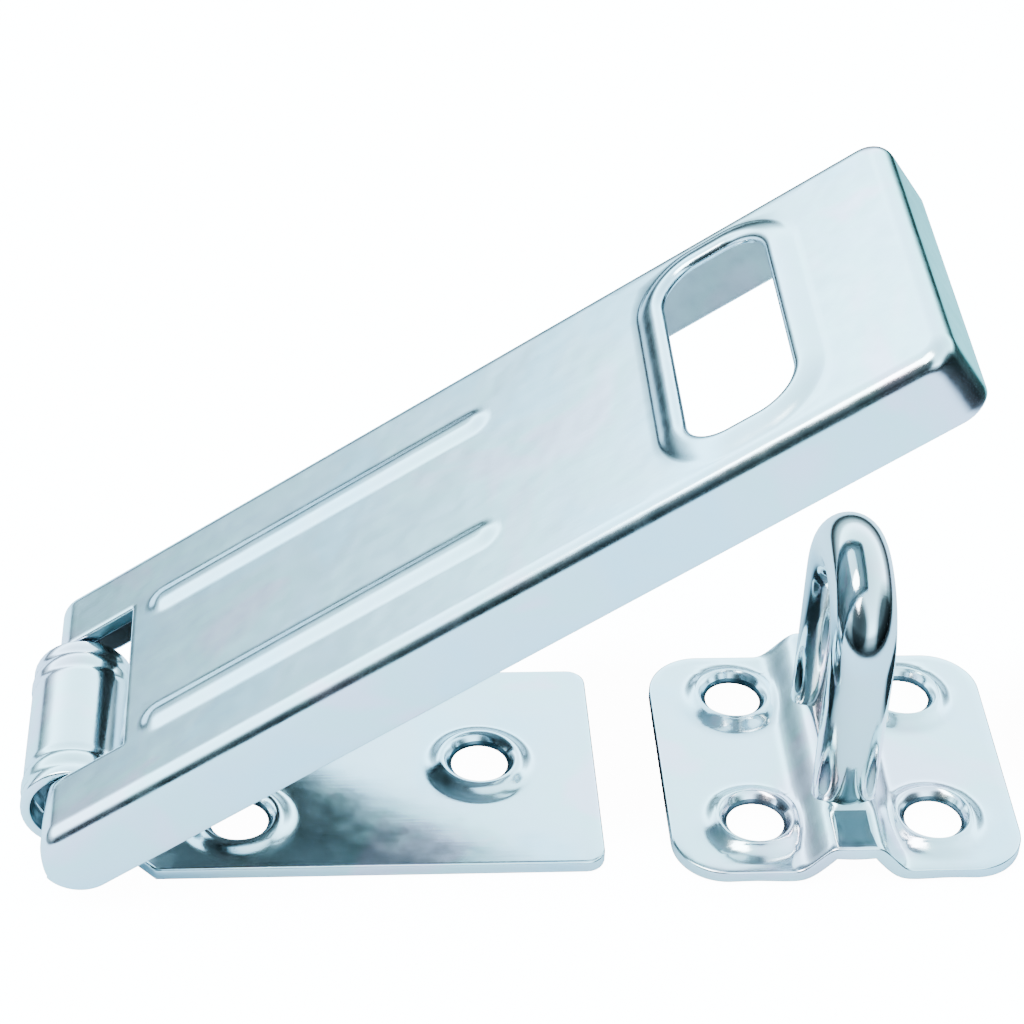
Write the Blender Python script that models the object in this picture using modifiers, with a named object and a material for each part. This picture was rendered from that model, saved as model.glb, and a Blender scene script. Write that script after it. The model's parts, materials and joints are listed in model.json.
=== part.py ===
"""Safety hasp and staple in pressed, zinc-plated steel.

Metres, +Z up. The origin is on the base plate's screwed-down face, near its middle:
+X runs along the closed hasp towards the staple, and +Y across it. The pieces are drawn
with the hinge at x = 0, and one empty then moves them all to the origin.
"""

from math import cos, pi, radians, sin

import bmesh
import bpy
from mathutils import Matrix

# Driving dimensions, metres.
SHEET = 0.0018  # thickness of every pressed sheet
GAP = 0.0003  # clearance between pieces that touch
HINGE_HEIGHT = 0.0060  # hinge axis above the mounting face
HINGE_TO_ORIGIN = 0.0310  # from under the hinge axis to the origin
OPEN_ANGLE = radians(35.0)  # how far the hasp stands open at rest

ARM_LENGTH = 0.1075  # hinge axis to tip
ARM_WIDTH = 0.0406
ARM_DEPTH = 0.0086  # height of the turned-down sides
ARM_TOP = 0.0046  # outer top face above the hinge axis
ARM_BEND = 0.0024  # outer radius of the pressed bends
EAR_RADIUS = 0.0042
EAR_REACH = 0.0023  # how far the rounded side walls run past the axis
STRIP_START = -0.0004  # where the two strips beside the barrel end, past the axis
WINDOW_END = 0.0104
WINDOW_HALF = 0.0113
RIB_START, RIB_END = 0.0135, 0.0575
RIB_OFFSET = 0.0098
RIB_WIDTH, RIB_HEIGHT = 0.0030, 0.0007
SLOT_START, SLOT_END = 0.0802, 0.0919
SLOT_HALF = 0.0146
COLLAR_MARGIN, COLLAR_HEIGHT = 0.0034, 0.0009

PIN_RADIUS = 0.0015
PIN_LENGTH = 0.0386

BASE_END = 0.0575
BASE_WIDTH = 0.0320
BARREL_RADIUS = 0.0055
BARREL_LENGTH = 0.0220
NECK_END = 0.0060  # the plate is as narrow as the barrel up to here
NECK_TAPER = 0.0028
BASE_HOLES = ((0.0178, -0.0087), (0.0178, 0.0087), (0.0445, 0.0))

STAPLE_X = 0.0843  # middle of the staple
STAPLE_LENGTH = 0.0388
STAPLE_WIDTH = 0.0362
STAPLE_CORNER = 0.0058
STAPLE_HOLES = tuple((x, y) for x in (-0.0099, 0.0099) for y in (-0.0103, 0.0103))
CHANNEL_HEIGHT = 0.0056  # top of the pressed channel above the mounting face
CHANNEL_FOOT, CHANNEL_CREST = 0.0060, 0.0038  # half widths at foot and crest

SCREW_HOLE = 0.0029  # radius
BOSS_RADIUS, BOSS_HEIGHT, BOSS_MOUTH = 0.0062, 0.0012, 0.0040

EYE_ROD = 0.0071
EYE_TOP = 0.0340
EYE_LEG = 0.0080  # each leg's middle from the middle of the loop
EYE_FOOT = 0.0008  # lower ends of the legs above the mounting face
EYE_HEAD_RADIUS, EYE_HEAD_HEIGHT = 0.0041, 0.0015


def clear_scene():
    for obj in list(bpy.data.objects):
        bpy.data.objects.remove(obj)


def new_collection(name):
    collection = bpy.data.collections.new(name)
    bpy.context.scene.collection.children.link(collection)
    return collection


def zinc(name, colour, roughness):
    material = bpy.data.materials.new(name)
    material.use_nodes = True
    shader = material.node_tree.nodes["Principled BSDF"]
    shader.inputs["Base Color"].default_value = (*colour, 1.0)
    shader.inputs["Metallic"].default_value = 1.0
    shader.inputs["Roughness"].default_value = roughness
    return material


# Outlines: lists of (x, y) points, anticlockwise.


def arc(centre, radius, start, end, steps):
    """Points along an arc, with the angles in degrees."""
    angles = [radians(start + (end - start) * step / steps) for step in range(steps + 1)]
    return [(centre[0] + radius * cos(a), centre[1] + radius * sin(a)) for a in angles]


def rounded(corners, steps=4):
    """A rectangle (low x, low y, high x, high y) with a radius for each corner, from low-low."""
    (x0, y0, x1, y1), radii = corners
    points = []
    places = ((x0, y0, 1, 1, 180), (x1, y0, -1, 1, 270), (x1, y1, -1, -1, 0), (x0, y1, 1, -1, 90))
    for (x, y, right, up, start), radius in zip(places, radii):
        if radius:
            centre = (x + right * radius, y + up * radius)
            points += arc(centre, radius, start, start + 90, steps)
        else:
            points.append((x, y))
    return points


def band(path, thickness):
    """The outline of a sheet of even thickness along a path of (x, y) points."""
    left, right = [], []
    for index, (x, y) in enumerate(path):
        before = path[max(index - 1, 0)]
        after = path[min(index + 1, len(path) - 1)]
        dx, dy = after[0] - before[0], after[1] - before[1]
        length = (dx * dx + dy * dy) ** 0.5
        nx, ny = -dy / length * thickness / 2, dx / length * thickness / 2
        left.append((x + nx, y + ny))
        right.append((x - nx, y - ny))
    return right + left[::-1]


# Solids.

ALONG_Z = Matrix.Identity(4)
ALONG_Y = Matrix.Rotation(pi / 2, 4, "X")  # outline in X and Z
ALONG_X = Matrix(((0, 0, 1, 0), (1, 0, 0, 0), (0, 1, 0, 0), (0, 0, 0, 1)))  # outline in Y and Z


def slab(name, outline, low, high, direction, collection):
    """An outline with thickness, from low to high along the direction."""
    curve = bpy.data.curves.new(name, "CURVE")
    curve.dimensions = "2D"
    curve.fill_mode = "BOTH"
    curve.extrude = (high - low) / 2
    spline = curve.splines.new("POLY")
    spline.points.add(len(outline) - 1)
    for point, (x, y) in zip(spline.points, outline):
        point.co = (x, y, 0, 1)
    spline.use_cyclic_u = True
    drawn = bpy.data.objects.new(name + "_outline", curve)
    collection.objects.link(drawn)
    graph = bpy.context.evaluated_depsgraph_get()
    mesh = bpy.data.meshes.new_from_object(drawn.evaluated_get(graph))
    bpy.data.objects.remove(drawn)
    middle = (high + low) / 2
    if direction is ALONG_Y:
        middle = -middle
    mesh.transform(direction @ Matrix.Translation((0, 0, middle)))
    return solid(name, mesh, collection)


def solid(name, mesh, collection):
    shape = bmesh.new()
    shape.from_mesh(mesh)
    bmesh.ops.remove_doubles(shape, verts=shape.verts, dist=1e-7)
    bmesh.ops.recalc_face_normals(shape, faces=shape.faces)
    shape.to_mesh(mesh)
    shape.free()
    mesh.name = name
    obj = bpy.data.objects.new(name, mesh)
    collection.objects.link(obj)
    return obj


def turned(name, profile, place, collection, steps=24):
    """A profile of (radius, z) points, from the top of the axis down its outer side, turned about Z."""
    mesh = bpy.data.meshes.new(name)
    mesh.from_pydata([(r, 0, z) for r, z in profile], [(i, i + 1) for i in range(len(profile) - 1)], [])
    obj = bpy.data.objects.new(name, mesh)
    collection.objects.link(obj)
    obj.location = place
    screw = obj.modifiers.new("Turn", "SCREW")
    screw.steps = screw.render_steps = steps
    screw.use_merge_vertices = True
    screw.merge_threshold = 1e-6
    return obj


def combine(obj, other, operation):
    modifier = obj.modifiers.new(operation.title(), "BOOLEAN")
    modifier.operation = operation
    modifier.object = other
    other.hide_render = True
    other.display_type = "WIRE"


def finish_piece(obj, material, parent=None):
    obj.data.materials.clear()
    obj.data.materials.append(material)
    if parent:
        obj.parent = parent


# The hasp arm, modelled flat about the hinge axis.


def arm_shell(name, inset, collection):
    """The filled outer form of the arm, or with an inset the hollow under it."""
    half = ARM_WIDTH / 2 - inset
    top = ARM_TOP - inset
    low = ARM_TOP - ARM_DEPTH - (0.002 if inset else 0.0)
    bend = ARM_BEND - inset
    section = rounded(((-half, low, half, top), (0, 0, bend, bend)))
    side_start = -0.010 if inset else -EAR_REACH
    ear = 0 if inset else EAR_RADIUS
    side = rounded(((side_start, low, ARM_LENGTH - inset, top), (ear, 0, bend * 0.9, ear)), 6)
    corner = bend + 0.0006
    plan = rounded(((-0.012, -half, ARM_LENGTH - inset, half), (0, corner, corner, 0)))
    shell = slab(name, side, -0.03, 0.03, ALONG_Y, collection)
    across = slab(name + "_section", section, -0.012, 0.12, ALONG_X, helpers)
    above = slab(name + "_plan", plan, -0.02, 0.02, ALONG_Z, helpers)
    combine(shell, across, "INTERSECT")
    combine(shell, above, "INTERSECT")
    return shell, [across, above]


def arm_window(collection):
    """The opening for the barrel: wide past the strip ends, then as wide as the barrel."""
    wide = ARM_WIDTH / 2 - SHEET + 0.0001
    outline = [
        (-0.010, -wide),
        (STRIP_START, -wide),
        (STRIP_START, -WINDOW_HALF),
        (WINDOW_END, -WINDOW_HALF),
        (WINDOW_END, WINDOW_HALF),
        (STRIP_START, WINDOW_HALF),
        (STRIP_START, wide),
        (-0.010, wide),
    ]
    return slab("window_cutter", outline, 0.0, 0.010, ALONG_Z, collection)


def arm_slot(collection):
    corners = (0.0025, 0.0050, 0.0050, 0.0025)
    outline = rounded(((SLOT_START, -SLOT_HALF, SLOT_END, SLOT_HALF), corners))
    return slab("slot_cutter", outline, 0.0, 0.010, ALONG_Z, collection)


def arm_collar(collection):
    margin = COLLAR_MARGIN
    reach = min(SLOT_HALF + margin, ARM_WIDTH / 2 - ARM_BEND)
    box = (SLOT_START - margin, -reach, SLOT_END + margin, reach)
    outline = rounded((box, (0.0055, 0.0075, 0.0075, 0.0055)))
    top = ARM_TOP + COLLAR_HEIGHT
    return slab("collar", outline, ARM_TOP - SHEET / 2, top, ALONG_Z, collection)


def arm_rib(side, collection):
    """One pressed rib: a rounded bar that stands out of the top face."""
    middle = side * RIB_OFFSET
    half = RIB_WIDTH / 2
    box = (RIB_START - half, middle - half, RIB_END, middle + half)
    outline = rounded((box, (half * 0.99,) * 4), 3)
    top = ARM_TOP + RIB_HEIGHT
    return slab(f"rib_{side}", outline, ARM_TOP - SHEET / 2, top, ALONG_Z, collection)


def hasp_arm(material, hinge):
    arm, helpers_used = arm_shell("hasp_arm", 0.0, parts)
    hollow, more = arm_shell("arm_hollow", SHEET, helpers)
    helpers_used += more + [hollow]
    combine(arm, hollow, "DIFFERENCE")
    raised = [arm_rib(-1, helpers), arm_rib(1, helpers), arm_collar(helpers)]
    for piece in raised:
        combine(arm, piece, "UNION")
    seat = PIN_RADIUS + GAP
    reach = PIN_LENGTH / 2 + GAP
    pin_seat = slab("pin_seat", arc((0, 0), seat, 0, 345, 23), -reach, reach, ALONG_Y, helpers)
    cutters = [arm_window(helpers), arm_slot(helpers), pin_seat]
    for piece in cutters:
        combine(arm, piece, "DIFFERENCE")
    for piece in helpers_used + raised + cutters:
        piece.parent = hinge
    finish_piece(arm, material, hinge)
    return arm


def hinge_pin(material, hinge):
    pin = slab("hinge_pin", arc((0, 0), PIN_RADIUS, 0, 345, 23), -PIN_LENGTH / 2, PIN_LENGTH / 2, ALONG_Y, parts)
    bevel = pin.modifiers.new("Bevel", "BEVEL")
    bevel.width = 0.0004
    bevel.segments = 1
    bevel.limit_method = "ANGLE"
    bevel.angle_limit = radians(60)
    finish_piece(pin, material, hinge)
    return pin


# The two plates that are screwed down.


def screw_boss(name, x, y):
    """A pressed cone that stands round a screw hole, to be joined to a plate."""
    top = SHEET + BOSS_HEIGHT
    profile = [
        (0, top),
        (BOSS_MOUTH, top),
        (BOSS_MOUTH + 0.0008, SHEET + BOSS_HEIGHT * 0.75),
        (BOSS_RADIUS - 0.0010, SHEET + BOSS_HEIGHT * 0.12),
        (BOSS_RADIUS + 0.0004, SHEET - 0.0002),
        (BOSS_RADIUS, SHEET / 2),
        (0, SHEET / 2),
    ]
    return turned(name, profile, (x, y, 0), helpers)


def screw_hole(name, x, y):
    """The countersunk hole, with the shallow dimple that pressing leaves underneath."""
    top = SHEET + BOSS_HEIGHT
    mouth = BOSS_MOUTH - 0.0005
    profile = [
        (0, top + 0.001),
        (mouth + 0.0006, top + 0.001),
        (mouth, top),
        (SCREW_HOLE, top - 0.0011),
        (SCREW_HOLE, 0.0012),
        (SCREW_HOLE + 0.0006, 0.0012),
        (BOSS_RADIUS - 0.0008, -0.0005),
        (0, -0.0005),
    ]
    return turned(name, profile, (x, y, 0), helpers)


def add_screw_holes(plate, name, places):
    """Raised, countersunk screw holes: all the bosses are joined before any hole is cut."""
    for number, (x, y) in enumerate(places):
        combine(plate, screw_boss(f"{name}_boss_{number}", x, y), "UNION")
    for number, (x, y) in enumerate(places):
        combine(plate, screw_hole(f"{name}_hole_{number}", x, y), "DIFFERENCE")


def barrel_path():
    """The middle of the sheet, from the plate's end up and round the pin."""
    middle = BARREL_RADIUS - SHEET / 2
    rise = [(BASE_END + 0.001, SHEET / 2), (0.0090, SHEET / 2), (0.0060, SHEET / 2 + 0.0001)]
    rise += [(0.0030, SHEET / 2 + 0.0003)]
    return rise + arc((0, HINGE_HEIGHT), middle, 270, -28, 26)


def base_plate(material):
    side = band(barrel_path(), SHEET)
    half, neck = BASE_WIDTH / 2, BARREL_LENGTH / 2
    plate = slab("base_plate", side, -half - 0.001, half + 0.001, ALONG_Y, parts)
    corner = 0.0018
    taper = NECK_END + NECK_TAPER
    outline = [(-0.010, -neck), (NECK_END, -neck), (NECK_END, -half + NECK_TAPER), (taper, -half)]
    outline += arc((BASE_END - corner, -half + corner), corner, 270, 360, 4)
    outline += arc((BASE_END - corner, half - corner), corner, 0, 90, 4)
    outline += [(taper, half), (NECK_END, half - NECK_TAPER), (NECK_END, neck), (-0.010, neck)]
    plan = slab("base_plan", outline, -0.005, 0.030, ALONG_Z, helpers)
    combine(plate, plan, "INTERSECT")
    add_screw_holes(plate, "base", BASE_HOLES)
    finish_piece(plate, material)
    return plate


def channel_path():
    """The middle of the staple plate's sheet, over the raised channel."""
    low, high = SHEET / 2, CHANNEL_HEIGHT - SHEET / 2
    edge = STAPLE_LENGTH / 2 + 0.001
    left = [
        (-edge, low),
        (-CHANNEL_FOOT - 0.0012, low),
        (-CHANNEL_FOOT, low + 0.0005),
        (-CHANNEL_CREST - 0.0009, high - 0.0006),
        (-CHANNEL_CREST + 0.0006, high),
    ]
    return left + [(-x, z) for x, z in left[::-1]]


def channel_hollow():
    """The space under the channel, which the screw bosses beside it must not fill."""
    foot, crest = CHANNEL_FOOT - 0.0007, CHANNEL_CREST + 0.0001
    low, high = -0.001, CHANNEL_HEIGHT - SHEET - 0.0002
    outline = [(-foot, low), (foot, low), (foot, SHEET / 2), (crest, high), (-crest, high), (-foot, SHEET / 2)]
    moved = [(x + STAPLE_X, z) for x, z in outline]
    return slab("channel_hollow", moved, -STAPLE_WIDTH, STAPLE_WIDTH, ALONG_Y, helpers)


def staple_plate(material):
    side = [(x + STAPLE_X, z) for x, z in band(channel_path(), SHEET)]
    half, reach = STAPLE_LENGTH / 2, STAPLE_WIDTH / 2
    plate = slab("staple_plate", side, -reach - 0.001, reach + 0.001, ALONG_Y, parts)
    box = (STAPLE_X - half, -reach, STAPLE_X + half, reach)
    plan = slab("staple_plan", rounded((box, (STAPLE_CORNER,) * 4), 5), -0.005, 0.03, ALONG_Z, helpers)
    combine(plate, plan, "INTERSECT")
    add_screw_holes(plate, "staple", [(STAPLE_X + x, y) for x, y in STAPLE_HOLES])
    combine(plate, channel_hollow(), "DIFFERENCE")
    for number, side_of in enumerate((-1, 1)):
        hole = EYE_ROD / 2 + GAP
        outline = arc((STAPLE_X, side_of * EYE_LEG), hole, 0, 345, 23)
        leg_hole = slab(f"leg_hole_{number}", outline, 0.002, 0.02, ALONG_Z, helpers)
        combine(plate, leg_hole, "DIFFERENCE")
    finish_piece(plate, material)
    return plate


def staple_eye(material):
    """A round rod bent into a U, with its feet riveted under the channel."""
    radius = EYE_ROD / 2
    bend_height = EYE_TOP - radius - EYE_LEG
    path = [(-EYE_LEG, EYE_FOOT), (-EYE_LEG, bend_height)]
    path += arc((0, bend_height), EYE_LEG, 180, 0, 16)[1:]
    path += [(EYE_LEG, EYE_FOOT)]
    curve = bpy.data.curves.new("staple_eye", "CURVE")
    curve.dimensions = "3D"
    curve.bevel_depth = radius
    curve.bevel_resolution = 4
    curve.use_fill_caps = True
    spline = curve.splines.new("POLY")
    spline.points.add(len(path) - 1)
    for point, (y, z) in zip(spline.points, path):
        point.co = (STAPLE_X, y, z, 1)
    drawn = bpy.data.objects.new("staple_eye_path", curve)
    parts.objects.link(drawn)
    graph = bpy.context.evaluated_depsgraph_get()
    mesh = bpy.data.meshes.new_from_object(drawn.evaluated_get(graph))
    bpy.data.objects.remove(drawn)
    eye = solid("staple_eye", mesh, parts)
    head_low = EYE_FOOT - 0.0001
    head_top = head_low + EYE_HEAD_HEIGHT
    for number, side in enumerate((-1, 1)):
        outline = arc((STAPLE_X, side * EYE_LEG), EYE_HEAD_RADIUS, 0, 345, 23)
        head = slab(f"rivet_head_{number}", outline, head_low, head_top, ALONG_Z, helpers)
        combine(eye, head, "UNION")
    finish_piece(eye, material)
    return eye


def shade(objects):
    """Round faces are drawn smooth, and edges sharper than 35 degrees stay sharp."""
    for obj in objects:
        obj.data.shade_smooth()
        obj.data.set_sharp_from_angle(angle=radians(35))


clear_scene()
parts = new_collection("hasp_and_staple")
helpers = new_collection("cutters")

bright_zinc = zinc("bright_zinc", (0.74, 0.80, 0.83), 0.28)
plain_steel = zinc("plain_steel", (0.45, 0.50, 0.55), 0.35)
polished_steel = zinc("polished_steel", (0.80, 0.82, 0.84), 0.12)

hinge_axis = bpy.data.objects.new("hinge_axis", None)
parts.objects.link(hinge_axis)
hinge_axis.location = (0, 0, HINGE_HEIGHT)
hinge_axis.rotation_euler = (0, -OPEN_ANGLE, 0)

pieces = [
    base_plate(bright_zinc),
    hasp_arm(bright_zinc, hinge_axis),
    hinge_pin(plain_steel, hinge_axis),
    staple_plate(bright_zinc),
    staple_eye(polished_steel),
]
shade(pieces)

mounting_face = bpy.data.objects.new("mounting_face", None)
parts.objects.link(mounting_face)
mounting_face.location = (-HINGE_TO_ORIGIN, 0, 0)
for obj in list(parts.objects) + list(helpers.objects):
    if obj.parent is None and obj is not mounting_face:
        obj.parent = mounting_face
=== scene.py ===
"""The looks of a safety hasp and staple in pressed, zinc-plated sheet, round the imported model.

The arm, the base with its curled barrel, and the staple plate are each one sheet: an open skin
is laid out as grids of points, welded, put in its place and then given its thickness.
"""

import json
from math import cos, pi, radians, sin, sqrt

import bmesh
import bpy
import numpy as np
from mathutils import Matrix, Vector


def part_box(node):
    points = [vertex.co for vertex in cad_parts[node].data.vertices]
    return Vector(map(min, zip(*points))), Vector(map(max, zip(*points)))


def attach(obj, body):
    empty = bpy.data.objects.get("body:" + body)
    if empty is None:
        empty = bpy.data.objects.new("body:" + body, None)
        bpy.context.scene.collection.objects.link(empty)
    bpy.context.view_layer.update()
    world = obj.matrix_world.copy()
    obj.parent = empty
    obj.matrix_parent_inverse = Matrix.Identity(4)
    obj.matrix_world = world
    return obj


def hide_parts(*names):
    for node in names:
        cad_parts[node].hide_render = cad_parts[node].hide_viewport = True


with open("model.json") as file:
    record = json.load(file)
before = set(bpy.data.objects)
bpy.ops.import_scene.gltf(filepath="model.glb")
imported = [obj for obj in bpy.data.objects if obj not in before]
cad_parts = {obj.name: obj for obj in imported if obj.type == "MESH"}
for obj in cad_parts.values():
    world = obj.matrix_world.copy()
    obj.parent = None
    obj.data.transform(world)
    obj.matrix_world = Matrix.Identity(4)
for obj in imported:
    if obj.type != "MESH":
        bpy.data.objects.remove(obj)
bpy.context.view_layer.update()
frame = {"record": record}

# Places read from the frame.
HINGE = frame["record"]["behaviour"]["joints"][0]
AXIS = Vector(HINGE["pos_m"])
OPEN_ANGLE = radians(-HINGE["range_deg"][0])
ARM_TURN = Matrix.Rotation(-OPEN_ANGLE, 3, "Y")
BASE_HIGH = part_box("base_plate")[1]
STAPLE_LOW, STAPLE_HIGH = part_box("staple_plate")
STAPLE_MIDDLE = (STAPLE_LOW.x + STAPLE_HIGH.x) / 2
EYE_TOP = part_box("staple_eye")[1].z
PIN_LOW, PIN_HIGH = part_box("hinge_pin")

# Sizes, metres. Arm sizes are in the arm's own frame: hinge axis at zero, arm along x.
SHEET = 0.0016
ARM_LENGTH = 0.1075
ARM_HALF = 0.0203
ARM_TOP = 0.0046
ARM_FOOT = -0.0040
CUT_EDGE = 0.0003  # rounding of every cut edge of the sheet
BEND = 0.0019
TIP_CORNER = 0.0032  # the tip's two upright corners, seen from above
EAR_MIDDLE = (0.0019, 0.0003)  # middle of the rounded side walls, beside the hinge axis
EAR_RADIUS = 0.0042 - CUT_EDGE
STRIP_TURN = radians(66)  # how far the strips beside the barrel follow the rounding down
WINDOW_END = 0.0104 + CUT_EDGE
WINDOW_HALF = 0.0113 + CUT_EDGE
RIB_START, RIB_END, RIB_OFFSET = 0.0131, 0.0575, 0.0098
RIB_HALF, RIB_HEIGHT = 0.0018, 0.00045
SLOT_MIDDLE = (0.08605, 0.0)
SLOT_HALVES = (0.00585 + CUT_EDGE, 0.0146 + CUT_EDGE)  # along the arm, and across it
SLOT_RADIUS = 0.0045
SLOT_BLOCK = (SLOT_MIDDLE[0] - 0.0121, SLOT_MIDDLE[0] + 0.0121)  # the stretch that its rings fill
COLLAR_HEIGHT, COLLAR_REACH = 0.00085, 0.0034

SCREW_HOLE = 0.0029 + CUT_EDGE
HOLE_WALL = 0.00025  # how far up the mouth the painted shade of the screw holes goes
BOSS_HEIGHT = 0.0012
BOSS_CREST = 0.0010  # from the hole's edge out to the top of its boss
BASE_BLOCK, STAPLE_BLOCK = 0.0069, 0.0045  # half the square that a hole's own rings fill
BARREL_INNER = 0.0043
BARREL_SHEET = 0.0012  # the sheet is drawn thinner where it is curled
BARREL_HALF = 0.0110 - CUT_EDGE
BARREL_CURL = radians(298)
BARREL_GROOVES, BARREL_BEAD = (0.0070, 0.0092), 0.0081  # distances from the middle plane
CURL_START = 0.0090
NECK_END, NECK_TAPER, BASE_CORNER = 0.0060 + CUT_EDGE, 0.0028, 0.0018
BASE_HOLES = ((0.0178, -0.0087), (0.0178, 0.0087), (0.0445, 0.0))
STAPLE_HOLES = tuple((x, y) for x in (-0.0099, 0.0099) for y in (-0.0103, 0.0103))
STAPLE_CORNER = 0.0058
CHANNEL_FOOT, CHANNEL_CREST = 0.0066, 0.0016  # half widths of the channel and of its flat top
RECESS_DEPTH = 0.0006
PLATE_TOP = 0.0018
EYE_LEG = 0.0080  # from the middle plane to the middle of each leg
EYE_FOOT = 0.0012  # height of the legs' ends
ROD_RADIUS = 0.00355


# Surfaces: each is collected as grids of points, then welded into one skin.


def smooth(t):
    """0 to 1 with a level start and end."""
    t = np.clip(t, 0.0, 1.0)
    return t * t * (3 - 2 * t)


def lines(breaks, step):
    """Grid lines through every break, and about a step apart in between."""
    found = [breaks[0]]
    for low, high in zip(breaks, breaks[1:]):
        count = max(1, round(abs(high - low) / step))
        found += list(np.linspace(low, high, count + 1)[1:])
    return np.array(found)


def between(places, low, high):
    """The grid lines from low to high, both included."""
    margin = 1e-7
    return places[(places > low - margin) & (places < high + margin)]


def hole_blocks(holes, half):
    """Low x, high x, low y and high y of the square round each hole."""
    return [(x - half, x + half, y - half, y + half) for x, y in holes]


def in_blocks(x, y, blocks):
    return any(a < x < b and c < y < d for a, b, c, d in blocks)


def with_edges(x_breaks, y_breaks, blocks):
    """The breaks of a grid in x and in y, sorted, with the blocks' edges among them."""
    for low_x, high_x, low_y, high_y in blocks:
        x_breaks = x_breaks | {low_x, high_x}
        y_breaks = y_breaks | {low_y, high_y}
    return sorted(x_breaks), sorted(y_breaks)


def cell_middles(places):
    return (places[1:] + places[:-1]) / 2


class Skin:
    """A surface made of grids that share their edge points."""

    def __init__(self):
        self.points, self.faces = [], []

    def grid(self, rows, keep=None):
        """Adds a grid of points, shape (m, n, 3); keep says which of its cells stay."""
        rows = np.asarray(rows, float)
        m, n = rows.shape[:2]
        first = len(self.points)
        self.points += [tuple(point) for point in rows.reshape(-1, 3)]
        for i in range(m - 1):
            for j in range(n - 1):
                if keep is None or keep[i][j]:
                    corner = first + i * n + j
                    self.faces.append((corner, corner + n, corner + n + 1, corner + 1))

    def build(self, name, place, weld=2e-5):
        mesh = bpy.data.meshes.new(name)
        mesh.from_pydata([place(Vector(p)) for p in self.points], [], self.faces)
        shape = bmesh.new()
        shape.from_mesh(mesh)
        bmesh.ops.remove_doubles(shape, verts=shape.verts, dist=weld)
        bmesh.ops.dissolve_degenerate(shape, dist=1e-6, edges=shape.edges)
        loose = [vert for vert in shape.verts if not vert.link_faces]
        bmesh.ops.delete(shape, geom=loose, context="VERTS")
        bmesh.ops.recalc_face_normals(shape, faces=shape.faces)
        shape.to_mesh(mesh)
        shape.free()
        obj = bpy.data.objects.new(name, mesh)
        bpy.context.scene.collection.objects.link(obj)
        return obj


def box_ring(xs, ys):
    """The points round a rectangle of grid lines, as one closed loop."""
    low_y = [(x, ys[0]) for x in xs]
    high_x = [(xs[-1], y) for y in ys[1:]]
    high_y = [(x, ys[-1]) for x in xs[::-1][1:]]
    low_x = [(xs[0], y) for y in ys[::-1][1:]]
    return np.array(low_y + high_x + high_y + low_x)


def round_outline(ring, middle, halves, radius):
    """Moves each point of a rectangle's ring onto a rounded rectangle about the middle."""
    centre = np.array(middle)
    reach = np.abs(ring - centre).max(axis=0)
    points = (ring - centre) / reach * np.array(halves)
    straight = np.array(halves) - radius
    corner = np.clip(points, -straight, straight)
    away = points - corner
    length = np.linalg.norm(away, axis=1)
    both = (np.abs(away) > 1e-9).all(axis=1)
    scale = np.where(both, radius / np.maximum(length, 1e-12), 1.0)
    return centre + corner + away * scale[:, None]


def rounded_corner(x, y, corner_x, corner_y):
    """Squeezes the square corner of a grid, beyond corner_x and corner_y, into a quarter circle."""
    u, v = x - corner_x, abs(y) - corner_y
    if u <= 0 or v <= 0:
        return x, y
    reach = max(u, v)
    angle = pi / 4 * v / u if u >= v else pi / 2 - pi / 4 * u / v
    side = 1 if y > 0 else -1
    return corner_x + reach * cos(angle), (corner_y + reach * sin(angle)) * side


def once_round(steps):
    """Angles once round a circle, the last at the first's place."""
    return [2 * pi * step / steps for step in range(steps + 1)]


def opening_patch(skin, ring, middle, halves, radius, profile, level):
    """Rows of faces from a rectangle's ring, level all round, in to a rounded hole.

    The profile's rows are a distance out from the hole's edge and a rise, from the outside in.
    """
    outer = profile[0][0]
    wide = round_outline(ring, middle, np.array(halves) + outer, radius + outer)
    rows = []
    for part in (0.0, 0.35, 0.7):
        rows.append([(x, y, level) for x, y in ring + (wide - ring) * part])
    for out, rise in profile:
        offset = round_outline(ring, middle, np.array(halves) + out, radius + out)
        rows.append([(x, y, level + rise) for x, y in offset])
    skin.grid(rows)


def calm_normals(mesh, rounds=5):
    """Vertex normals, averaged with their neighbours so that small pressings don't turn them."""
    count = len(mesh.vertices)
    normals = np.zeros(count * 3)
    mesh.vertex_normals.foreach_get("vector", normals)
    normals = normals.reshape(count, 3)
    ends = np.zeros(len(mesh.edges) * 2, int)
    mesh.edges.foreach_get("vertices", ends)
    a, b = ends.reshape(-1, 2).T
    for _ in range(rounds):
        total = normals.copy()
        np.add.at(total, a, normals[b])
        np.add.at(total, b, normals[a])
        normals = total / np.linalg.norm(total, axis=1)[:, None]
    return normals


def rim_profile(thickness):
    """The rounded cut edge: (distance out, depth) from the skin to the far face."""
    quarter = [radians(angle) for angle in (30, 60, 90)]
    upper = [(CUT_EDGE * sin(a), CUT_EDGE * (1 - cos(a))) for a in quarter]
    lower = [(out, thickness - depth) for out, depth in upper[::-1]]
    return upper + lower


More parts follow.
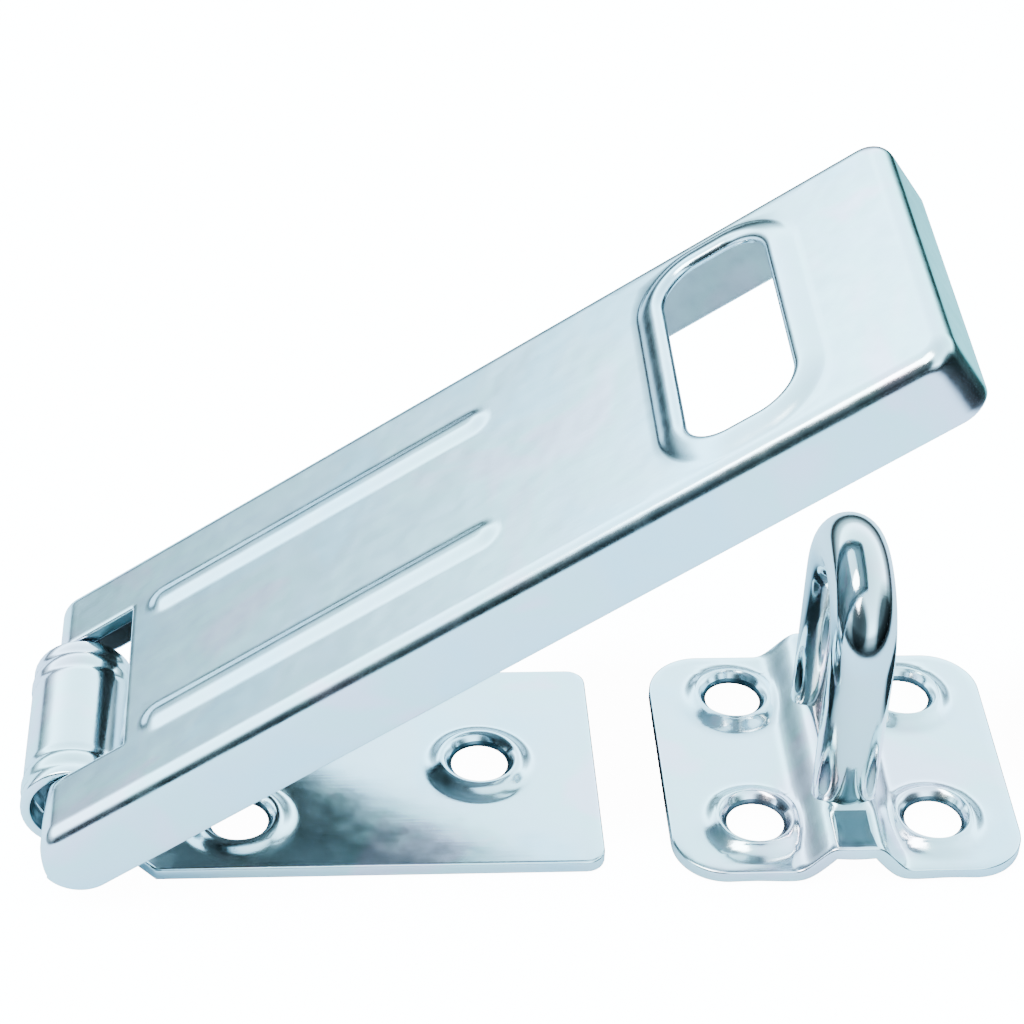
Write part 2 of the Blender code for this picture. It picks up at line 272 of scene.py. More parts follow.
def thicken(obj, thickness_at=lambda point: SHEET):
    """Gives a skin its thickness on the far side, with rounded cut edges all round.

    The faces of the far side take the mesh's second material slot.
    """
    mesh = obj.data
    count = len(mesh.vertices)
    points = np.array([vert.co[:] for vert in mesh.vertices])
    thickness = np.array([thickness_at(point) for point in points])
    inward = -calm_normals(mesh)
    faces = [tuple(face.vertices) for face in mesh.polygons]

    uses = {}
    for face, polygon in zip(faces, mesh.polygons):
        for a, b in zip(face, face[1:] + face[:1]):
            uses.setdefault((min(a, b), max(a, b)), []).append((a, b, polygon.normal.copy()))
    rim = [found[0] for found in uses.values() if len(found) == 1]
    sideways = {}
    for a, b, normal in rim:
        out = (Vector(points[b]) - Vector(points[a])).cross(normal).normalized()
        sideways.setdefault(a, []).append(out)
        sideways.setdefault(b, []).append(out)

    def outward(vert):
        direction = sum(sideways[vert], Vector()).normalized()
        return direction / max(0.6, direction.dot(sideways[vert][0]))

    every_point = [tuple(point) for point in points]
    every_point += [tuple(point) for point in points + inward * thickness[:, None]]
    layers = [{vert: vert for vert in sideways}]
    for step in range(len(rim_profile(SHEET))):
        layer = {}
        for vert in sideways:
            out, depth = rim_profile(thickness[vert])[step]
            layer[vert] = len(every_point)
            moved = Vector(points[vert]) + outward(vert) * out + Vector(inward[vert]) * depth
            every_point.append(tuple(moved))
        layers.append(layer)
    layers.append({vert: vert + count for vert in sideways})

    every_face = faces + [tuple(vert + count for vert in face[::-1]) for face in faces]
    for upper, lower in zip(layers, layers[1:]):
        every_face += [(upper[b], upper[a], lower[a], lower[b]) for a, b, _ in rim]
    mesh.clear_geometry()
    mesh.from_pydata(every_point, [], every_face)
    for index in range(len(faces), 2 * len(faces)):
        mesh.polygons[index].material_index = 1
    mesh.update()
    mesh.shade_smooth()


def paint_shade(obj, chosen):
    """Gives the third material slot, the painted shade, to each face for which chosen(face) is
    true.
    """
    for face in obj.data.polygons:
        if chosen(face):
            face.material_index = 2


def in_holes(face, holes, middle_x):
    """Whether a face is on the wall of one of the screw holes."""
    x, y = face.center.x - middle_x, face.center.y
    return any(sqrt((x - a) ** 2 + (y - b) ** 2) < SCREW_HOLE + HOLE_WALL for a, b in holes)


def in_barrel(face):
    """Whether a face is on the inner side of the curl."""
    toward = Vector((AXIS.x - face.center.x, 0, AXIS.z - face.center.z))
    return toward.length < BARREL_INNER + CUT_EDGE / 3 and face.normal.dot(toward) > 0


def face_out(obj, direction, near):
    """Turns the skin over if the face nearest the point looks away from the direction."""
    mesh = obj.data
    centres = [(face.center - near).length for face in mesh.polygons]
    face = mesh.polygons[int(np.argmin(centres))]
    if face.normal.dot(direction) < 0:
        mesh.flip_normals()


# The arm.


def on_arm(point):
    """From the arm's own frame to its place, with the side walls rounded beside the hinge."""
    x, y, z = point
    middle_x, middle_z = EAR_MIDDLE
    if x < middle_x:
        z = middle_z + (z - middle_z) * sqrt(max(0.0, 1 - ((middle_x - x) / EAR_RADIUS) ** 2))
    return AXIS + ARM_TURN @ Vector((x, y, z))


def rib_height(x, y):
    """The two ribs pressed up between the window and the slot."""
    rise = 0.0
    for side in (-1, 1):
        along = min(max(x, RIB_START + RIB_HALF), RIB_END - RIB_HALF)
        distance = sqrt((x - along) ** 2 + (y - side * RIB_OFFSET) ** 2)
        rise += RIB_HEIGHT * float(smooth(1.25 - distance / RIB_HALF))
    return rise


def collar_profile():
    """In to the slot's edge: the sheet rises towards the slot, and its edge is rolled down."""
    foot = [(1.0, 0.0), (0.94, 0.05), (0.87, 0.17), (0.78, 0.36)]
    slope = [(0.68, 0.55), (0.56, 0.74), (0.44, 0.89), (0.34, 0.98)]
    roll = [(0.26, 1.0), (0.18, 0.95), (0.11, 0.82), (0.05, 0.60), (0.015, 0.35), (0.0, 0.05)]
    return [(COLLAR_REACH * out, COLLAR_HEIGHT * rise) for out, rise in foot + slope + roll]


def arm_skin():
    """The top with its window, ribs and slot, and the sides and tip bent down from it."""
    skin = Skin()
    top_end, top_half = ARM_LENGTH - BEND, ARM_HALF - BEND
    top_corner = TIP_CORNER - BEND
    corner_x, corner_y = top_end - top_corner, top_half - top_corner
    step_x, step_y, fine_step = 0.0005, 0.0004, 0.00022
    strip_steps = 14
    turns = [STRIP_TURN * (1 - i / strip_steps) for i in range(strip_steps)]
    round_x = [EAR_MIDDLE[0] - EAR_RADIUS * sin(turn) for turn in turns]
    middle_x = lines([EAR_MIDDLE[0], WINDOW_END, *SLOT_BLOCK, corner_x], step_x)
    xs = np.concatenate([round_x, middle_x, lines([corner_x, top_end], fine_step)[1:]])
    middle_y = lines([-corner_y, -WINDOW_HALF, WINDOW_HALF, corner_y], step_y)
    edge_y = lines([corner_y, top_half], fine_step)[1:]
    ys = np.concatenate([-edge_y[::-1], middle_y, edge_y])

    def on_top(x, y):
        return (*rounded_corner(x, y, corner_x, corner_y), ARM_TOP + rib_height(x, y))

    rows = [[on_top(x, y) for y in ys] for x in xs]
    keep = []
    for x in cell_middles(xs):
        window = x < WINDOW_END
        slot = SLOT_BLOCK[0] < x < SLOT_BLOCK[1]
        across = cell_middles(ys)
        keep.append([not slot and not (window and abs(y) < WINDOW_HALF) for y in across])
    skin.grid(rows, keep)

    ring = box_ring(between(xs, *SLOT_BLOCK), ys)
    opening_patch(skin, ring, SLOT_MIDDLE, SLOT_HALVES, SLOT_RADIUS, collar_profile(), ARM_TOP)

    # The turned-down sides and tip: each point of the top's outline, with the way it faces. The
    # sides stop a hair inside the end of their rounding, where they would have no height.
    ear_end, ear_steps = EAR_MIDDLE[0] - EAR_RADIUS * 0.999, 8
    ear = [ear_end + (xs[0] - ear_end) * (i / ear_steps) ** 2 for i in range(ear_steps)]
    along = ear + list(xs)
    outline = [(x, -top_half) for x in along]
    outline += [(top_end, y) for y in ys[1:]]
    outline += [(x, top_half) for x in along[::-1][1:]]
    path = []
    for x, y in outline:
        x, y = rounded_corner(x, y, corner_x, corner_y)
        past_y = max(0.0, abs(y) - corner_y) * (1 if y > 0 else -1)
        away = Vector((max(0.0, x - corner_x), past_y))
        path.append((x, y, away.normalized()))
    quarter = np.linspace(0, pi / 2, 11)
    wall = np.linspace(ARM_TOP - BEND, ARM_FOOT + CUT_EDGE, 10)
    bend_rows = [(BEND * sin(a), ARM_TOP - BEND * (1 - cos(a))) for a in quarter]
    foot_rows = [(BEND, z) for z in wall[1:]]
    sweep = []
    for out, z in bend_rows + foot_rows:
        sweep.append([(x + out * away.x, y + out * away.y, z) for x, y, away in path])
    skin.grid(sweep)
    return skin


def make_arm():
    """The arm's sheet in its open place, with painted shade on the cut edge of its window."""
    arm = arm_skin().build("arm_sheet", on_arm)
    up = ARM_TURN @ Vector((0, 0, 1))
    past_ribs = Vector((0.065, 0.0, ARM_TOP))
    face_out(arm, up, on_arm(past_ribs))
    thicken(arm)

    # Painted shade: the faces of the window's cut edge take the dark third material.
    def window_edge(face):
        x, y, z = ARM_TURN.transposed() @ (face.center - AXIS)
        margin = CUT_EDGE / 3
        in_window = x < WINDOW_END + margin and abs(y) < WINDOW_HALF + margin
        return in_window and z < ARM_TOP - CUT_EDGE

    paint_shade(arm, window_edge)
    return arm


# The base plate and its barrel are one sheet.


def boss_profile():
    """In to a screw hole: a pressed cone with a countersunk mouth."""
    foot = [(0.0034, 0.0), (0.0031, 0.03), (0.0027, 0.14), (0.0022, 0.40)]
    cone = [(0.0018, 0.68), (0.0015, 0.88), (0.00125, 0.97), (BOSS_CREST, 1.0)]
    mouth = [(0.0008, 0.93), (0.0005, 0.68), (0.0002, 0.36), (0.0, 0.15)]
    return [(out, BOSS_HEIGHT * rise) for out, rise in foot + cone + mouth]


def barrel_rings(y):
    """Shallow grooves pressed round the barrel near both ends, with a low bead between them."""
    side = abs(y)
    depth, groove_half, height, bead_half = 0.00016, 0.00045, 0.00012, 0.0008
    grooves = sum(smooth(1.5 - abs(side - place) / groove_half) for place in BARREL_GROOVES)
    bead = smooth(1.4 - abs(side - BARREL_BEAD) / bead_half)
    return height * float(bead) - depth * float(grooves)


def on_base(point):
    """Rolls the flat sheet's end up round the hinge pin. Heights stay on the sheet's normal."""
    x, y, z = point
    if x >= 0:
        drop = AXIS.z - BARREL_INNER - PLATE_TOP
        return Vector((AXIS.x + x, y, z + drop * float(smooth((CURL_START - x) / CURL_START))))
    arc = -x / BARREL_INNER
    rings = barrel_rings(y) * float(smooth(arc / radians(40)))
    radius = BARREL_INNER - (z - PLATE_TOP) + rings
    angle = -pi / 2 - arc
    return Vector((AXIS.x + radius * cos(angle), y, AXIS.z + radius * sin(angle)))


def base_skin():
    """The base laid flat: the plate with its holes, and the strip that becomes the barrel."""
    end, half = BASE_HIGH.x - AXIS.x - CUT_EDGE, BASE_HIGH.y - CUT_EDGE
    curl_end = -BARREL_CURL * BARREL_INNER
    corner_x, corner_y = end - BASE_CORNER, half - BASE_CORNER
    taper_end, taper_y = NECK_END + NECK_TAPER, half - NECK_TAPER
    blocks = hole_blocks(BASE_HOLES, BASE_BLOCK)
    x_breaks = {curl_end, 0.0, NECK_END, taper_end, corner_x, end}
    y_breaks = {-half, -corner_y, -BARREL_HALF, BARREL_HALF, corner_y, half}
    x_breaks, y_breaks = with_edges(x_breaks, y_breaks, blocks)
    step_x, step_y = 0.0007, 0.0005
    xs, ys = lines(x_breaks, step_x), lines(y_breaks, step_y)

    def shaped(x, y):
        x, y = rounded_corner(x, y, corner_x, corner_y)
        margin = 1e-6
        if NECK_END - margin <= x < taper_end and abs(y) > taper_y - margin:
            kept = 1 - (taper_end - x) / NECK_TAPER
            y = (taper_y + (abs(y) - taper_y) * kept) * (1 if y > 0 else -1)
        return x, y, PLATE_TOP

    rows = [[shaped(x, y) for y in ys] for x in xs]
    keep = []
    for x in cell_middles(xs):
        cells = []
        for y in cell_middles(ys):
            beside_barrel = x < NECK_END and abs(y) > BARREL_HALF
            cells.append(not in_blocks(x, y, blocks) and not beside_barrel)
        keep.append(cells)
    skin = Skin()
    skin.grid(rows, keep)
    halves = (SCREW_HOLE, SCREW_HOLE)
    for (low_x, high_x, low_y, high_y), middle in zip(blocks, BASE_HOLES):
        ring = box_ring(between(xs, low_x, high_x), between(ys, low_y, high_y))
        opening_patch(skin, ring, middle, halves, SCREW_HOLE, boss_profile(), PLATE_TOP)
    return skin


def make_base():
    """The base's sheet, rolled up at its end, with painted shade in the bore and the screw holes.
    """
    base = base_skin().build("base_sheet", on_base)
    between_holes = Vector((AXIS.x + 0.030, 0.0, PLATE_TOP))
    face_out(base, Vector((0, 0, 1)), between_holes)

    def sheet_at(point):
        flat = float(smooth((point[0] - AXIS.x) / CURL_START))
        return BARREL_SHEET + (SHEET - BARREL_SHEET) * flat

    thicken(base, sheet_at)
    # Painted shade in the bore and on the screw holes' walls: those faces take the dark third
    # material.
    paint_shade(base, lambda face: in_barrel(face) or in_holes(face, BASE_HOLES, AXIS.x))
    return base


# The staple.


def channel_height(x):
    """The pressed channel's rise above the plate's top face."""
    rise = STAPLE_HIGH.z - PLATE_TOP
    return rise * float(smooth((CHANNEL_FOOT - abs(x)) / (CHANNEL_FOOT - CHANNEL_CREST)))


def boss_rise(distance):
    """The height of a screw boss at a distance from its hole's edge."""
    outs, rises = zip(*[row for row in boss_profile() if row[0] >= BOSS_CREST][::-1])
    return float(np.interp(distance, outs, rises, right=0.0))


def recess_reach(x, y):
    """How far a point is from the middle of the recess in front of the eye, 1 at its rim."""
    middle_y, half_x, half_y = -0.0150, 0.0021, 0.0030
    return max(abs(x) / half_x, abs(y - middle_y) / half_y)


def staple_height(x, y):
    """The higher of the channel and the bosses beside it, with a soft join."""
    channel = channel_height(x)
    boss = max(boss_rise(sqrt((x - a) ** 2 + (y - b) ** 2) - SCREW_HOLE) for a, b in STAPLE_HOLES)
    recess = RECESS_DEPTH * float(smooth(1.6 - recess_reach(x, y) * 1.2))
    soft = 0.0004
    total = 0.5 * (channel + boss + sqrt((channel - boss) ** 2 + soft**2))
    return PLATE_TOP + total - soft / 2 - recess


def staple_skin():
    """The plate about its own middle: a square grid, the rounded rim outside it, and the holes."""
    half_x = STAPLE_HIGH.x - STAPLE_MIDDLE - CUT_EDGE
    half_y = STAPLE_HIGH.y - CUT_EDGE
    inner_x, inner_y = 0.0160, 0.0152
    blocks = hole_blocks(STAPLE_HOLES, STAPLE_BLOCK)
    x_breaks, y_breaks = {-inner_x, inner_x, 0.0}, {-inner_y, inner_y, 0.0}
    x_breaks, y_breaks = with_edges(x_breaks, y_breaks, blocks)
    step_x, step_y = 0.00035, 0.00045
    xs, ys = lines(x_breaks, step_x), lines(y_breaks, step_y)

    def raised(places):
        return [(x, y, staple_height(x, y)) for x, y in places]

    rows = [raised([(x, y) for y in ys]) for x in xs]
    keep = [[not in_blocks(x, y, blocks) for y in cell_middles(ys)] for x in cell_middles(xs)]
    skin = Skin()
    skin.grid(rows, keep)
    ring = box_ring(xs, ys)
    outline = round_outline(ring, (0, 0), (half_x, half_y), STAPLE_CORNER)
    skin.grid([raised(ring + (outline - ring) * part) for part in (0, 0.34, 0.67, 1)])
    mouth = [row for row in boss_profile() if row[0] <= BOSS_CREST]
    for (low_x, high_x, low_y, high_y), middle in zip(blocks, STAPLE_HOLES):
        ring = box_ring(between(xs, low_x, high_x), between(ys, low_y, high_y))
        crest = SCREW_HOLE + BOSS_CREST
        circle = round_outline(ring, middle, (crest, crest), crest)
        rows = [raised(ring + (circle - ring) * part) for part in (0.0, 0.33, 0.67)]
        for out, rise in mouth:
            hole = SCREW_HOLE + out
            circle = round_outline(ring, middle, (hole, hole), hole)
            rows.append([(x, y, PLATE_TOP + rise) for x, y in circle])
        skin.grid(rows)
    return skin


def make_staple_plate():
    """The staple's sheet, with painted shade in its screw holes and in the recess in front of the
    eye.
    """
    plate = staple_skin().build("staple_sheet", lambda point: point + Vector((STAPLE_MIDDLE, 0, 0)))
    flat_margin = Vector((STAPLE_HIGH.x - 0.001, 0.0, PLATE_TOP))
    face_out(plate, Vector((0, 0, 1)), flat_margin)
    thicken(plate)

    # Painted shade in the screw holes and in the recess in front of the eye.
    def in_painted_shade(face):
        above = face.center.z > PLATE_TOP + CUT_EDGE
        recess = above and recess_reach(face.center.x - STAPLE_MIDDLE, face.center.y) < 0.9
        return recess or in_holes(face, STAPLE_HOLES, STAPLE_MIDDLE)

    paint_shade(plate, in_painted_shade)
    return plate


def make_eye():
    """The bent rod, its flat ends under the channel."""
    top = EYE_TOP - ROD_RADIUS - EYE_LEG
    leg_steps, bend_steps, round_steps = 12, 40, 40
    leg = [EYE_FOOT + (top - EYE_FOOT) * step / leg_steps for step in range(leg_steps)]
    bend = [pi * step / bend_steps for step in range(bend_steps + 1)]
    path = [(-EYE_LEG, z) for z in leg]
    path += [(-EYE_LEG * cos(a), top + EYE_LEG * sin(a)) for a in bend]
    path += [(EYE_LEG, z) for z in leg[::-1]]
    rows = []
    for index, (y, z) in enumerate(path):
        before, after = path[max(index - 1, 0)], path[min(index + 1, len(path) - 1)]
        along = Vector((0, after[0] - before[0], after[1] - before[1])).normalized()
        across = Vector((1, 0, 0))
        third = along.cross(across)
        centre = Vector((STAPLE_MIDDLE, y, z))
        spokes = [cos(a) * across + sin(a) * third for a in once_round(round_steps)]
        rows.append([tuple(centre + ROD_RADIUS * spoke) for spoke in spokes])
    skin = Skin()
    skin.grid(rows)
    for end in (0, -1):
        centre = (STAPLE_MIDDLE, *path[end])
        skin.grid([[centre] * (round_steps + 1), rows[end]])
    eye = skin.build("eye_rod", lambda point: point)
    eye.data.shade_smooth()
    eye.data.set_sharp_from_angle(angle=radians(40))
    return eye


def make_foot(side):
    """The riveted foot under the channel that holds one leg of the eye."""
    radius, high, low = 0.0041, 0.0022, 0.0007
    profile = [(0.0, high), (radius - 0.0005, high), (radius, high - 0.0003)]
    profile += [(radius, low + 0.0004), (radius - 0.0004, low), (0.0, low)]
    x, y = STAPLE_MIDDLE, side * EYE_LEG
    turns = once_round(32)
    skin = Skin()
    skin.grid([[(x + r * cos(a), y + r * sin(a), z) for a in turns] for r, z in profile])
    foot = skin.build("eye_foot_near" if side < 0 else "eye_foot_far", lambda point: point)
    bevel = foot.modifiers.new("Edge", "BEVEL")
    bevel.width, bevel.segments = 0.0002, 2
    foot.data.shade_smooth()
    return foot


def make_pin():
    """The hinge pin: a drawn rod with chamfered ends, a hair thinner between its two shoulders."""
    half = (PIN_HIGH.y - PIN_LOW.y) / 2
    radius = (PIN_HIGH.x - PIN_LOW.x) / 2
    chamfer, shoulder, slope, relief = 0.0004, 0.0090, 0.0004, 0.0001
    end = [(0, half), (radius - chamfer, half), (radius, half - chamfer)]
    end += [(radius, shoulder), (radius - relief, shoulder - slope)]
    profile = [(r, -y) for r, y in end] + end[::-1]
    x, z = AXIS.x, AXIS.z
    turns = once_round(48)
    skin = Skin()
    skin.grid([[(x + r * cos(a), y, z + r * sin(a)) for a in turns] for r, y in profile])
    pin = skin.build("pin_rod", lambda point: point)
    pin.data.shade_smooth()
    pin.data.set_sharp_from_angle(angle=radians(30))
    return pin


# Materials.


def colour_ramp(tree, stops):
    """A ramp through the stops, each a position from 0 to 1 and a colour."""
    ramp = tree.nodes.new("ShaderNodeValToRGB")
    elements = ramp.color_ramp.elements
    while len(elements) < len(stops):
        elements.new(0.5)
    for element, (position, colour) in zip(elements, stops):
        element.position = position
        element.color = (*colour, 1)
    return ramp


def product_of(tree, first, second):
    """The socket with the product of two colours, each of them a socket or a plain colour."""
    product = tree.nodes.new("ShaderNodeVectorMath")
    product.operation = "MULTIPLY"
    for target, value in zip(product.inputs, (first, second)):
        if isinstance(value, bpy.types.NodeSocket):
            tree.links.new(value, target)
        else:
            target.default_value = value
    return product.outputs["Vector"]


def plated(name, colour, roughness, ripple=0.06, scratch=0.5):
    """Bright plated steel: soft blotches of tint, a faint ripple from pressing, fine scratches."""
    material = bpy.data.materials.new(name)
    material.use_nodes = True
    tree = material.node_tree
    shader = tree.nodes["Principled BSDF"]
    shader.inputs["Metallic"].default_value = 1.0

    def node(kind, **values):
        made = tree.nodes.new(kind)
        for key, value in values.items():
            made.inputs[key].default_value = value
        return made

    def link(source, output, target, name_in):
        tree.links.new(source.outputs[output], target.inputs[name_in])

    place = tree.nodes.new("ShaderNodeTexCoord")
    blotch = node("ShaderNodeTexNoise", Scale=55.0, Detail=3.0, Roughness=0.5, Distortion=0.6)
    link(place, "Object", blotch, "Vector")
    teal, none, green, pink = (0.90, 1.00, 1.02), (1, 1, 1), (0.96, 1.03, 0.97), (1.22, 0.95, 1.00)
    stops = []
    for position, tint in ((0.38, teal), (0.46, none), (0.56, green), (0.63, pink)):
        stops.append((position, [part * level for part, level in zip(colour, tint)]))
    tints = colour_ramp(tree, stops)
    link(blotch, "Fac", tints, "Fac")
    link(tints, "Color", shader, "Base Color")

    fine = node("ShaderNodeTexNoise", Scale=420.0, Detail=4.0, Roughness=0.6)
    link(place, "Object", fine, "Vector")
    smoothest, roughest = roughness * 0.75, roughness * 1.30
    limits = {"From Min": 0.25, "From Max": 0.75, "To Min": smoothest, "To Max": roughest}
    rough = node("ShaderNodeMapRange", **limits)
    link(fine, "Fac", rough, "Value")
    link(rough, "Result", shader, "Roughness")

    stretch = node("ShaderNodeMapping", Scale=(90.0, 2600.0, 900.0), Rotation=(0, 0, radians(4)))
    link(place, "Object", stretch, "Vector")
    streaks = node("ShaderNodeTexNoise", Scale=1.0, Detail=2.0)
    link(stretch, "Vector", streaks, "Vector")
    waves = node("ShaderNodeTexNoise", Scale=130.0, Detail=2.0)
    link(place, "Object", waves, "Vector")
    bump_wave = node("ShaderNodeBump", Strength=ripple, Distance=0.001)
    link(waves, "Fac", bump_wave, "Height")
    bump_streak = node("ShaderNodeBump", Strength=scratch * 0.06, Distance=0.0002)
    link(streaks, "Fac", bump_streak, "Height")
    link(bump_wave, "Normal", bump_streak, "Normal")
    link(bump_streak, "Normal", shader, "Normal")
    return material


def blend(tree, part, before, colour):
    """The output of a mix from the socket before, or from white if it is None, to the colour."""
    mix = tree.nodes.new("ShaderNodeMix")
    mix.data_type = "RGBA"
    tree.links.new(part.outputs["Result"], mix.inputs["Factor"])
    start, end = [socket for socket in mix.inputs if socket.type == "RGBA"]
    start.default_value = (1, 1, 1, 1)
    end.default_value = (*colour, 1)
    if before:
        tree.links.new(before, start)
    return [socket for socket in mix.outputs if socket.type == "RGBA"][0]


def shade_along(material, colour, first, last, edge=None):
    """Another colour further along the arm: it comes in from first to last, metres from the hinge.

    The edge colour is what the metal shows at a glancing angle.
    """
    tree = material.node_tree
    shader = tree.nodes["Principled BSDF"]
    along = ARM_TURN @ Vector((1, 0, 0))
    reach = tree.nodes.new("ShaderNodeVectorMath")
    reach.operation = "DOT_PRODUCT"
    reach.inputs[1].default_value = along
    coordinates = tree.nodes.new("ShaderNodeTexCoord")
    tree.links.new(coordinates.outputs["Object"], reach.inputs[0])
    part = tree.nodes.new("ShaderNodeMapRange")
    part.inputs["From Min"].default_value = along.dot(AXIS) + first
    part.inputs["From Max"].default_value = along.dot(AXIS) + last
    tree.links.new(reach.outputs["Value"], part.inputs["Value"])
    before = shader.inputs["Base Color"].links[0].from_socket
    tree.links.new(blend(tree, part, before, colour), shader.inputs["Base Color"])
    if edge:
        tree.links.new(blend(tree, part, None, edge), shader.inputs["Specular Tint"])


def dress(obj, materials, body, slot, *replaced):
    """Gives a piece its materials and its body, and hides the nodes that it replaces. The slot is
    not used.

    The first material is the outside, the second the sheet's far side, darkened as painted shade
    on the arm and the staple, and the third the painted shade on its edges and in its hollows.
    """
    for material in materials:
        obj.data.materials.append(material)
    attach(obj, body)
    if replaced:
        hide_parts(*replaced)


zinc = plated("bright_zinc_plate", (0.70, 0.83, 0.89), 0.17, scratch=0.25)
# Painted shade: the sheet's far side is a dark grey, standing in for the shade under the arm that
# the base plate reflects.
inside = plated("zinc_inside_painted_shade", (0.30, 0.33, 0.345), 0.36, ripple=0.10)
# Painted shade: a dark colour for the cut edge of the arm's window, the barrel's bore, the screw
# holes and the staple's recess.
dark = plated("painted_hollow_shade", (0.09, 0.14, 0.17), 0.32)
rod = plated("polished_plate", (0.66, 0.73, 0.77), 0.09, ripple=0.05, scratch=0.3)
steel = plated("drawn_steel", (0.22, 0.36, 0.48), 0.28)
teal_film, teal_edge = (0.44, 0.70, 0.66), (0.48, 0.76, 0.70)
film_start, film_full = ARM_LENGTH - 0.0010, ARM_LENGTH - 0.0001
shade_along(zinc, teal_film, film_start, film_full, teal_edge)
# Painted shade: the far side of the arm turns dark brown towards the hinge, where the arm's
# underside lies in shade.
hinge_shade_brown, hinge_shade_start, hinge_shade_full = (0.07, 0.062, 0.058), 0.064, 0.026
shade_along(inside, hinge_shade_brown, hinge_shade_start, hinge_shade_full)

dress(make_arm(), (zinc, inside, dark), "arm", "bright_zinc", "hasp_arm")
dress(make_pin(), (steel,), "arm", "plain_steel", "hinge_pin")
dress(make_base(), (zinc, zinc, dark), "base", "bright_zinc", "base_plate")
dress(make_staple_plate(), (zinc, inside, dark), "staple", "bright_zinc", "staple_plate")
dress(make_eye(), (rod,), "staple", "polished_steel", "staple_eye")
for side in (-1, 1):
    dress(make_foot(side), (rod,), "staple", "polished_steel")


# The studio.


def floor():
    """Paper, pale under the object and dark further off, where only the metal's edges see it.

    A dark card lies on each side of the staple, which the plate's edges and the eye show as dark
    streaks. It all glows to the camera alone, so the picture has a white ground.
    """
    size, below = 3.0, 0.0002
    corners = [(-size, -size, 0), (size, -size, 0), (size, size, 0), (-size, size, 0)]
    mesh = bpy.data.meshes.new("floor")
    mesh.from_pydata(corners, [], [(0, 1, 2, 3)])
    obj = bpy.data.objects.new("floor", mesh)
    bpy.context.scene.collection.objects.link(obj)
    obj.location.z = -below
    paper = bpy.data.materials.new("floor_white")
    paper.use_nodes = True
    tree = paper.node_tree
    shader = tree.nodes["Principled BSDF"]
    shader.inputs["Roughness"].default_value = 0.8
    shader.inputs["Specular IOR Level"].default_value = 0.0

    place = tree.nodes.new("ShaderNodeTexCoord")
    pale, black, white = (0.51, 0.64, 0.72), (0.02, 0.02, 0.02), (1, 1, 1)
    left_card = ((BASE_HIGH.x + STAPLE_LOW.x) / 2, 0.006, 0)
    right_card = (STAPLE_HIGH.x + 0.014, 0.004, 0)
    fades = [((0, 0, 0), 0.20, pale, 0.36, black)]
    fades += [(card, 0.012, black, 0.018, white) for card in (left_card, right_card)]
    shade = white
    for middle, near, near_colour, far, far_colour in fades:
        distance = tree.nodes.new("ShaderNodeVectorMath")
        distance.operation = "DISTANCE"
        distance.inputs[1].default_value = middle
        tree.links.new(place.outputs["Object"], distance.inputs[0])
        fade = colour_ramp(tree, ((near, near_colour), (far, far_colour)))
        tree.links.new(distance.outputs["Value"], fade.inputs["Fac"])
        shade = product_of(tree, shade, fade.outputs["Color"])
    tree.links.new(shade, shader.inputs["Base Color"])

    glow_strength = 14.0
    seen = tree.nodes.new("ShaderNodeLightPath")
    glow = tree.nodes.new("ShaderNodeMath")
    glow.operation = "MULTIPLY"
    glow.inputs[1].default_value = glow_strength
    tree.links.new(seen.outputs["Is Camera Ray"], glow.inputs[0])
    tree.links.new(glow.outputs["Value"], shader.inputs["Emission Strength"])
    shader.inputs["Emission Color"].default_value = (1, 1, 1, 1)
    mesh.materials.append(paper)


def softbox(name, place, target, size, power):
    light = bpy.data.lights.new(name, "AREA")
    light.shape = "RECTANGLE"
    light.size, light.size_y = size
    light.energy = power
    obj = bpy.data.objects.new(name, light)
    bpy.context.scene.collection.objects.link(obj)
    obj.location = place
    obj.rotation_euler = (Vector(target) - Vector(place)).to_track_quat("-Z", "Y").to_euler()


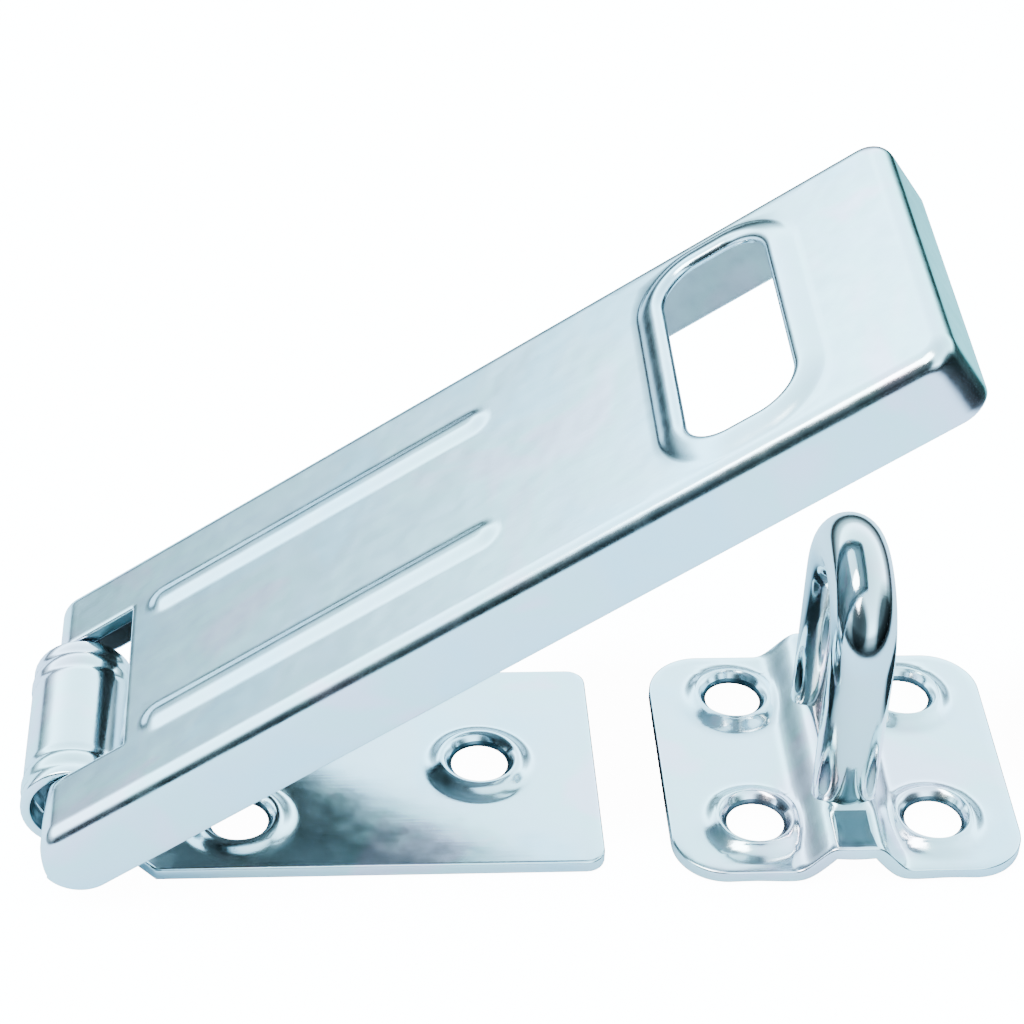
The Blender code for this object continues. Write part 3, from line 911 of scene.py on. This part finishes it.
def room_ramp(tree, direction, stops):
    """Levels of the room's light by how far a direction leans towards the given one, 0 to 1."""
    place = tree.nodes.new("ShaderNodeTexCoord")
    toward = tree.nodes.new("ShaderNodeVectorMath")
    toward.operation = "DOT_PRODUCT"
    toward.inputs[1].default_value = Vector(direction).normalized()
    ramp = colour_ramp(tree, [(position, (level, level, level)) for position, level in stops])
    tree.links.new(place.outputs["Generated"], toward.inputs[0])
    tree.links.new(toward.outputs["Value"], ramp.inputs["Fac"])
    return ramp.outputs["Color"]


def sky():
    """A cool white room, brightest in a band well above the horizon, with two dark flags.

    One flag is at the front left and one at the right. The bends and corners of the metal show
    them as thin dark lines.
    """
    world = bpy.data.worlds.new("room")
    bpy.context.scene.world = world
    world.use_nodes = True
    tree = world.node_tree
    low_levels = ((0.0, 0.01), (0.09, 0.07), (0.15, 0.17), (0.26, 0.32))
    high_levels = ((0.36, 1.0), (0.46, 0.92), (0.60, 0.70), (1.0, 0.44))
    front_flag = ((0.0, 1.0), (0.80, 0.95), (0.92, 0.04), (1.0, 0.02))
    corner_flag = ((0.0, 1.0), (0.74, 1.0), (0.88, 0.04), (1.0, 0.02))
    light = room_ramp(tree, (0, 0, 1), low_levels + high_levels)
    light = product_of(tree, light, room_ramp(tree, (-0.45, -0.78, 0.42), front_flag))
    light = product_of(tree, light, room_ramp(tree, (0.90, -0.42, 0.05), corner_flag))
    cool_white, strength = (0.62, 0.98, 1.16), 6.2
    back = tree.nodes["Background"]
    tree.links.new(product_of(tree, light, cool_white), back.inputs["Color"])
    back.inputs["Strength"].default_value = strength


def camera():
    """Long lens from the front and above, at the angle of a product picture."""
    elevation, azimuth, roll = radians(37.06), radians(5.0), radians(2.5)
    distance, focal_length, sensor_width = 0.355, 98.4, 36.0
    target = Vector((AXIS.x + 0.05124, 0.04914, 0.0))
    level = Vector((sin(azimuth), cos(azimuth), 0))
    forward = level * cos(elevation) - Vector((0, 0, sin(elevation)))
    data = bpy.data.cameras.new("camera")
    data.lens = focal_length
    data.sensor_width = sensor_width
    data.clip_start = 0.01
    obj = bpy.data.objects.new("camera", data)
    bpy.context.scene.collection.objects.link(obj)
    obj.location = target - distance * forward
    turn = forward.to_track_quat("-Z", "Y").to_matrix()
    obj.rotation_euler = (turn @ Matrix.Rotation(roll, 3, "Z")).to_euler()
    bpy.context.scene.camera = obj


floor()
sky()
softbox("key_light", (-0.35, -0.25, 0.75), target=(0.02, 0, 0.02), size=(0.5, 0.5), power=12.0)
camera()
